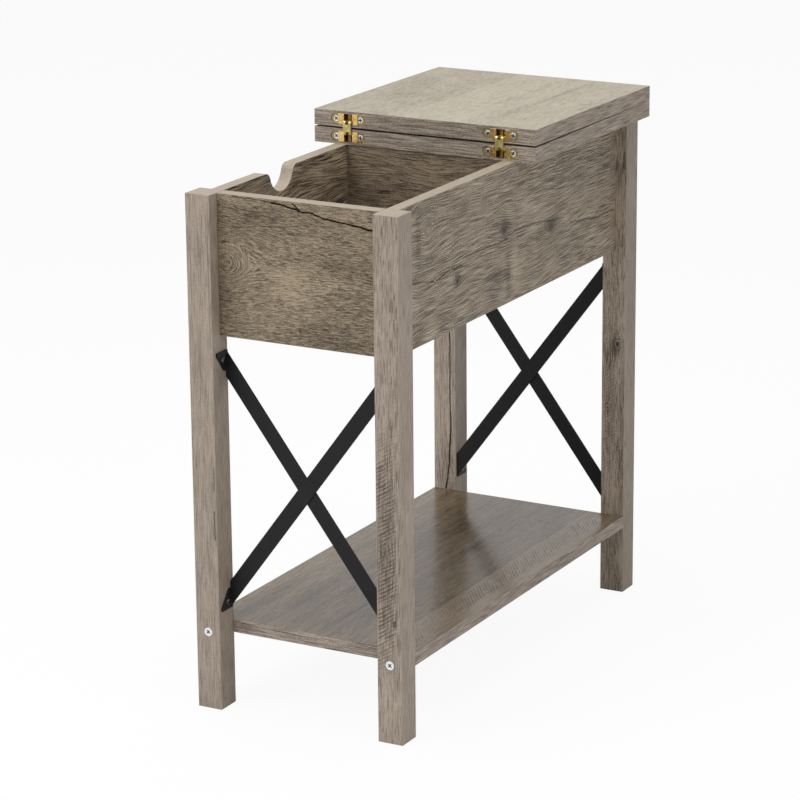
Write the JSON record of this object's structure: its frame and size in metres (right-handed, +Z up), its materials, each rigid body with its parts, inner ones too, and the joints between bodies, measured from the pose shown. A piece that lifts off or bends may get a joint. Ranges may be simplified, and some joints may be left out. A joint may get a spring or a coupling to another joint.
{
  "type": "flip-top storage end table",
  "caption": "Narrow end table whose top leaf folds over on concealed hinges to open a storage box, on square legs with crossed metal end braces and an open lower shelf.",
  "frame": {"origin": "on the floor under the middle of the table's overall width and length", "axes": "+X across the width to the right, +Y along the length from the open front to the back, +Z up"},
  "size_m": [0.28, 0.5941, 0.62],
  "materials": {
    "leg_board": "grey-brown oak laminate, vertical grain, satin",
    "panel_board": "grey-brown oak laminate, long grain, satin",
    "top_board": "pale grey-beige oak laminate, satin",
    "black_steel": "matt black powder coat, blackened on the screws",
    "plated_steel": "bright zinc plate",
    "hinge_brass": "bright brass",
    "beech": "plain fluted beech",
    "cam_zinc": "dull die-cast zinc"
  },
  "bodies": {
    "base": {"leg_front_left": "leg_board", "leg_front_right": "leg_board", "leg_back_left": "leg_board", "leg_back_right": "leg_board", "front_end_panel": "panel_board", "back_end_panel": "panel_board", "left_side_panel": "panel_board", "right_side_panel": "panel_board", "divider_panel": "panel_board", "compartment_floor": "panel_board", "lower_shelf": "panel_board", "fixed_leaf": "top_board", "front_brace_strap_inner": "black_steel", "front_brace_strap_outer": "black_steel", "back_brace_strap_inner": "black_steel", "back_brace_strap_outer": "black_steel", "front_brace_screws": "black_steel", "back_brace_screws": "black_steel", "shelf_screws": "plated_steel", "fixed_hinge_body_left": "hinge_brass", "fixed_hinge_body_right": "hinge_brass", "fixed_hinge_pins": "plated_steel", "fixed_hinge_screws": "plated_steel", "panel_dowels": "beech", "leaf_dowels": "beech", "slim_dowels": "beech", "cam_bolts": "plated_steel", "cam_discs": "cam_zinc"},
    "flip_top": {"flip_leaf": "top_board", "flip_hinge_body_left": "hinge_brass", "flip_hinge_body_right": "hinge_brass", "flip_hinge_pins": "plated_steel", "flip_hinge_screws": "plated_steel"},
    "lower_links": {"lower_link_left": "hinge_brass", "lower_link_right": "hinge_brass"},
    "upper_links": {"upper_link_left": "hinge_brass", "upper_link_right": "hinge_brass"}
  },
  "joints": [
    {"name": "leaf_flip", "type": "hinge", "parent": "base", "child": "flip_top", "pos_m": [0, -0.004, 0.601], "axis": [1, 0, 0], "range_deg": [0, 180.3]},
    {"name": "lower_link_turn", "type": "hinge", "parent": "base", "child": "lower_links", "pos_m": [0, 0.0025, 0.5945], "axis": [1, 0, 0], "range_deg": [0, 90.16]},
    {"name": "upper_link_turn", "type": "hinge", "parent": "flip_top", "child": "upper_links", "pos_m": [0, 0.00254, 0.60746], "axis": [1, 0, 0], "range_deg": [-90.16, 0]}
  ],
  "couplings": [
    {"joint": "lower_link_turn", "follows": "leaf_flip", "ratio": 0.5},
    {"joint": "upper_link_turn", "follows": "leaf_flip", "ratio": -0.5}
  ]
}
